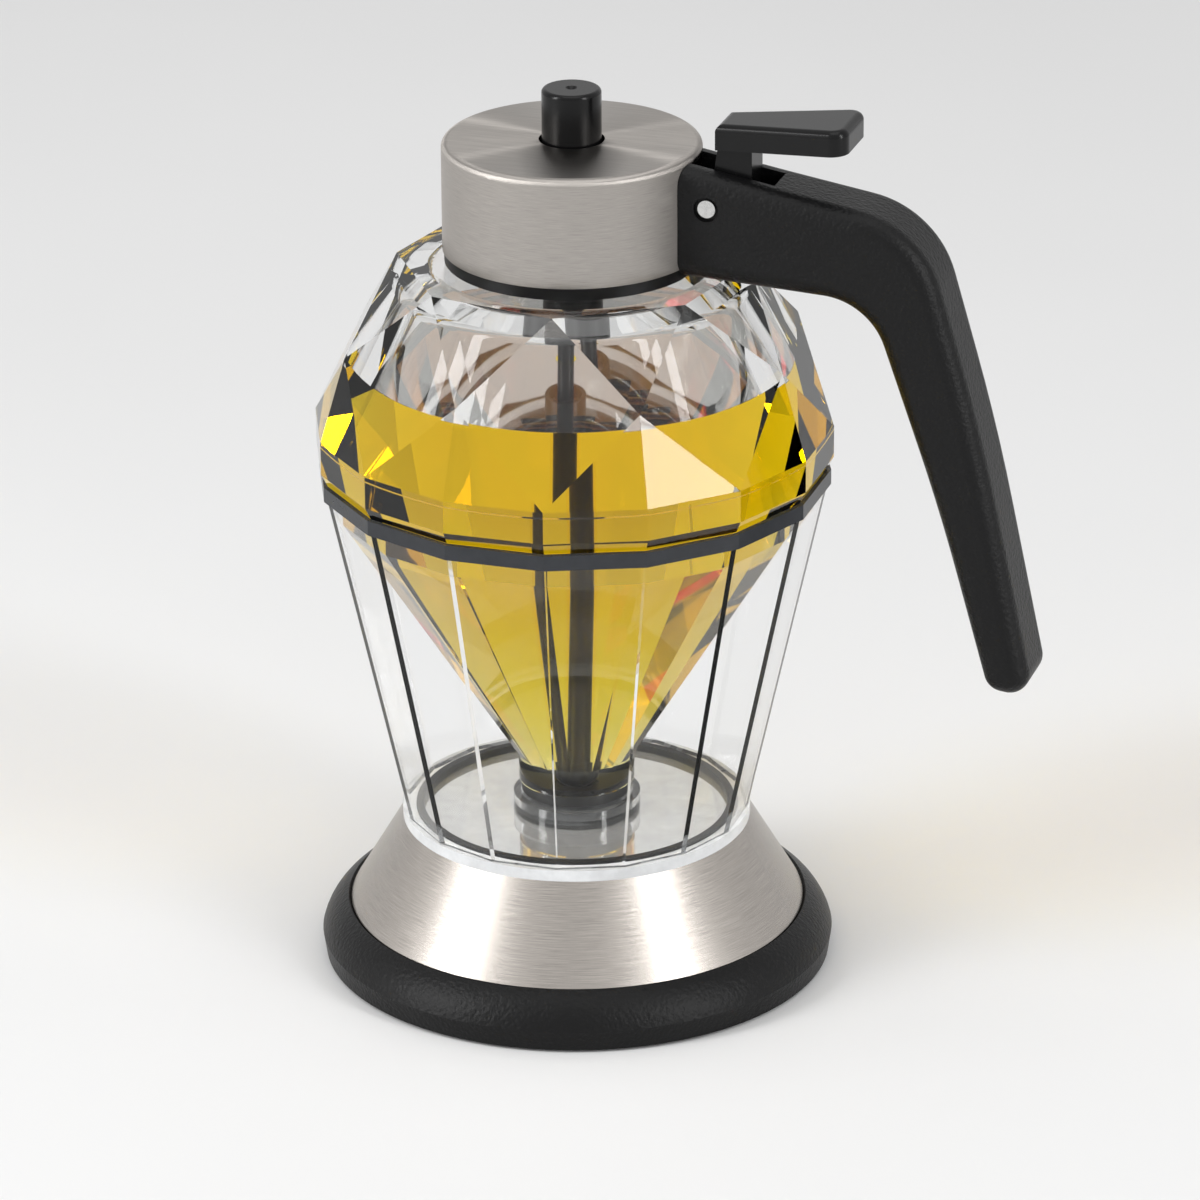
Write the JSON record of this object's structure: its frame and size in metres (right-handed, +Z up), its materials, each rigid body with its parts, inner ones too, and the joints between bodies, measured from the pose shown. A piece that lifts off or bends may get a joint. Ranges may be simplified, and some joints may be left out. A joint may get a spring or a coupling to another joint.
{
  "type": "honey dispenser",
  "caption": "Tabletop honey dispenser: faceted glass jar with a lever-lifted stopper rod, screw lid with handle, and a clear stand that catches drips.",
  "frame": {"origin": "centre of the foot pad's underside, on the table", "axes": "+Z up along the jar's axis, +X towards the handle"},
  "size_m": [0.1203, 0.085, 0.15],
  "materials": {
    "foot_rubber": "matt rubber",
    "black_grain": "fine leathery grain, satin",
    "black_inner": "moulded",
    "screw_steel": "bright",
    "brushed_metal": "brushed round the axis",
    "pale_floor": "polished",
    "light_collar": "satin",
    "black_seal": "matt",
    "clear_acrylic": "clear, polished",
    "grey_seal": "satin",
    "clear_cup": "clear, polished",
    "jar_glass": "clear, polished facets",
    "honey": "clear golden liquid",
    "pale_seal": "translucent silicone",
    "black_band": "satin",
    "pin_steel": "satin",
    "black_gloss": "smooth, soft gloss",
    "rod_black": "smooth satin",
    "plug_black": "matt"
  },
  "bodies": {
    "stand": {"foot_pad": "foot_rubber", "base_ring": "black_grain", "base_plate": "black_inner", "base_screws": "screw_steel", "base_cone": "brushed_metal", "floor_disc": "pale_floor", "collar_ring": "light_collar", "floor_gasket": "black_seal", "stand_wall": "clear_acrylic", "rim_gasket": "grey_seal", "drip_cup": "clear_cup"},
    "jar": {"jar_glass": "jar_glass", "honey": "honey", "valve_seat": "black_seal"},
    "lid_seal": {"lid_gasket": "pale_seal"},
    "lid": {"lid_shell": "brushed_metal", "lid_liner": "black_band", "stem_guide": "black_band", "handle": "black_grain", "handle_screws": "screw_steel", "pivot_pin": "pin_steel", "return_spring": "screw_steel"},
    "lever": {"thumb_lever": "black_gloss"},
    "stem": {"stem_rod": "rod_black", "valve_plug": "plug_black", "top_knob": "black_gloss", "spring_collar": "screw_steel"}
  },
  "joints": [
    {"name": "jar_lift", "type": "slide", "parent": "stand", "child": "jar", "axis": [0, 0, 1], "range_m": [0, 0.075]},
    {"name": "lid_rise", "type": "slide", "parent": "jar", "child": "lid_seal", "axis": [0, 0, 1], "range_m": [0, 0.003]},
    {"name": "lid_turn", "type": "hinge", "parent": "lid_seal", "child": "lid", "pos_m": [0, 0, 0.1295], "axis": [0, 0, 1], "range_deg": [0, 120]},
    {"name": "lever_pivot", "type": "hinge", "parent": "lid", "child": "lever", "pos_m": [0.0244, 0, 0.1342], "axis": [0, 1, 0], "range_deg": [0, 9.5]},
    {"name": "stem_lift", "type": "slide", "parent": "lid", "child": "stem", "axis": [0, 0, 1], "range_m": [0, 0.00404], "stiffness_N_per_m": 200, "springref_m": -0.0037, "deforming": ["return_spring"]}
  ],
  "couplings": [
    {"joint": "lid_rise", "follows": "lid_turn", "m_per_rad": 0.0014324},
    {"joint": "lever_pivot", "follows": "stem_lift", "rad_per_m": 40.984}
  ]
}
